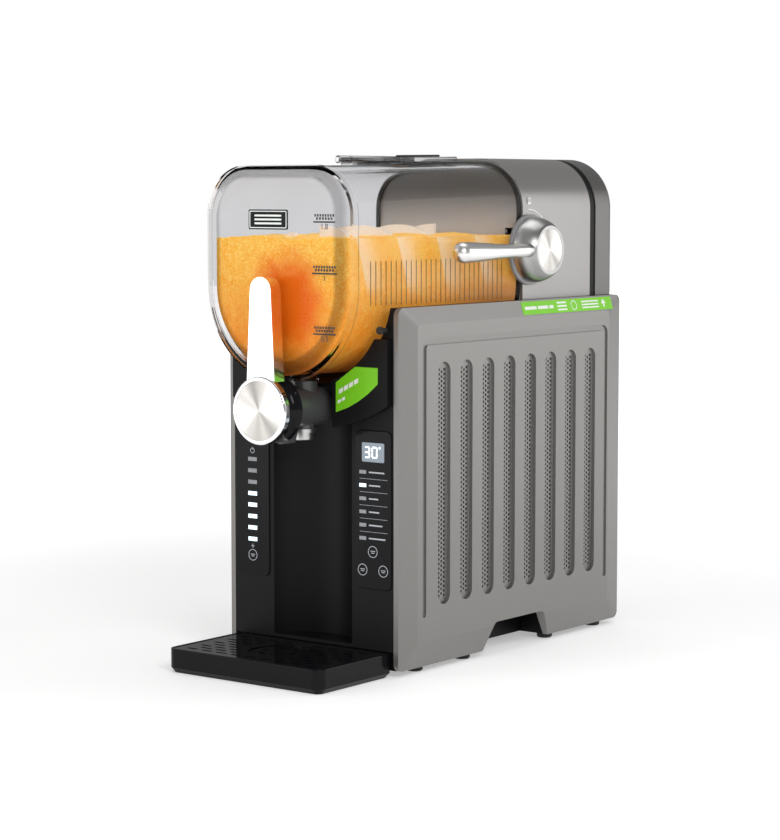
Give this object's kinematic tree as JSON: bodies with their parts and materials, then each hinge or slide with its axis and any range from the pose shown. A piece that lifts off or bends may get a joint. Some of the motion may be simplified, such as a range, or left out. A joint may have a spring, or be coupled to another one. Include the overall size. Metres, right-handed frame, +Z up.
{
  "type": "slushie machine",
  "caption": "Countertop frozen drink machine: clear auger vessel over a cooled base, with a front tap, cup bay, drip tray and side lock lever.",
  "frame": {"origin": "centre of the base's footprint, on the plane of the rubber feet", "axes": "+Z up, -Y towards the user and the tap, +X to the right of a user who faces the tap, on the lock lever's side"},
  "size_m": [0.1892, 0.404, 0.4057],
  "materials": {
    "grey_paint": "satin grey metallic paint",
    "mesh_paint": "satin grey paint on perforated sheet",
    "black_plastic": "fine-grained moulding",
    "gloss_black": "polished moulding",
    "grey_plastic": "fine-grained moulding",
    "rubber": "matt",
    "display": "backlit window",
    "lights": "backlit windows",
    "black_steel": "black powder coat",
    "zinc": "zinc plate",
    "fins": "rolled",
    "copper": "drawn copper tube",
    "board": "solder mask",
    "steel": "brushed",
    "brass": "turned",
    "gear_plastic": "natural acetal",
    "clear_frost": "milky translucent moulding",
    "smoke_clear": "smoke-tinted clear moulding",
    "slush": "frozen orange drink",
    "chrome": "polished plate",
    "brushed": "radially brushed",
    "satin_metal": "satin"
  },
  "bodies": {
    "base": {"base_pan": "black_plastic", "bulkhead": "grey_plastic", "catch_pegs": "black_plastic", "compressor": "black_steel", "condenser_fins": "fins", "condenser_tubes": "copper", "control_board": "board", "control_panel_left": "gloss_black", "control_panel_right": "gloss_black", "display_window": "display", "evaporator": "steel", "evaporator_coil": "copper", "fan_motor": "zinc", "fan_shroud": "black_plastic", "filter_dryer": "copper", "front_tower": "black_plastic", "gear_motor": "zinc", "gear_plate": "zinc", "housing_band": "black_plastic", "indicator_lights": "lights", "lock_ring": "grey_plastic", "motor_housing": "grey_paint", "power_inlet": "black_plastic", "rear_cap": "grey_paint", "rear_panel": "black_steel", "rear_screws": "zinc", "refrigerant_tubes": "copper", "rubber_feet": "rubber", "shaft_bearing": "brass", "side_panel_left": "grey_paint", "side_panel_right": "grey_paint", "top_deck": "black_plastic", "vent_mesh_left": "mesh_paint", "vent_mesh_right": "mesh_paint", "vessel_gasket": "rubber"},
    "vessel_unit": {"vessel": "smoke_clear", "slush_fill": "slush", "lid_base": "smoke_clear", "lid_pin": "steel", "tap_body": "smoke_clear", "tap_nozzle": "chrome", "tap_spring": "steel", "tap_pin": "steel"},
    "filling_flap": {"lid_flap": "smoke_clear", "lid_grip": "rubber"},
    "tap_handle": {"tap_lever": "chrome", "tap_drum": "gloss_black", "tap_disc": "brushed"},
    "plunger": {"tap_plunger": "gear_plastic"},
    "lock_lever": {"lock_knob": "satin_metal", "lock_disc": "brushed", "lock_shaft": "steel"},
    "auger_unit": {"auger": "clear_frost", "drive_shaft": "steel", "drive_gear": "gear_plastic"},
    "pinion": {"motor_pinion": "brass"},
    "fan": {"fan_rotor": "black_plastic"},
    "tray": {"drip_tray": "gloss_black"},
    "grille": {"drip_grille": "gloss_black"},
    "catch": {"condensation_catch": "black_plastic"}
  },
  "joints": [
    {"name": "vessel_slide", "type": "slide", "parent": "base", "child": "vessel_unit", "axis": [0, -1, 0], "range_m": [0, 0.19]},
    {"name": "flap_hinge", "type": "hinge", "parent": "vessel_unit", "child": "filling_flap", "pos_m": [-0.0305, -0.045, 0.40172], "axis": [0, -1, 0], "range_deg": [0, 105]},
    {"name": "tap_hinge", "type": "hinge", "parent": "vessel_unit", "child": "tap_handle", "pos_m": [0, -0.2055, 0.1865], "axis": [1, 0, 0], "range_deg": [0, 30], "stiffness_Nm_per_rad": 0.4, "springref_deg": -11.46},
    {"name": "plunger_slide", "type": "slide", "parent": "vessel_unit", "child": "plunger", "axis": [0, -1, 0], "range_m": [0, 0.0127], "deforming": ["tap_spring"]},
    {"name": "lock_turn", "type": "hinge", "parent": "base", "child": "lock_lever", "pos_m": [0.09, 0.0295, 0.328], "axis": [-1, 0, 0], "range_deg": [0, 90]},
    {"name": "auger_spin", "type": "hinge", "parent": "base", "child": "auger_unit", "pos_m": [0, 0, 0.292], "axis": [0, 1, 0], "continuous": true},
    {"name": "pinion_spin", "type": "hinge", "parent": "base", "child": "pinion", "pos_m": [0, 0, 0.3373], "axis": [0, 1, 0], "continuous": true},
    {"name": "fan_spin", "type": "hinge", "parent": "base", "child": "fan", "pos_m": [-0.034, 0.068, 0.112], "axis": [1, 0, 0], "continuous": true},
    {"name": "tray_slide", "type": "slide", "parent": "base", "child": "tray", "axis": [0, -1, 0], "range_m": [0, 0.1]},
    {"name": "grille_lift", "type": "slide", "parent": "tray", "child": "grille", "axis": [0, 0, 1], "range_m": [0, 0.05]},
    {"name": "catch_slide", "type": "slide", "parent": "base", "child": "catch", "axis": [0, -1, 0], "range_m": [0, 0.008]}
  ],
  "couplings": [
    {"joint": "pinion_spin", "follows": "auger_spin", "ratio": -4},
    {"joint": "plunger_slide", "follows": "tap_hinge", "m_per_rad": 0.02425}
  ]
}
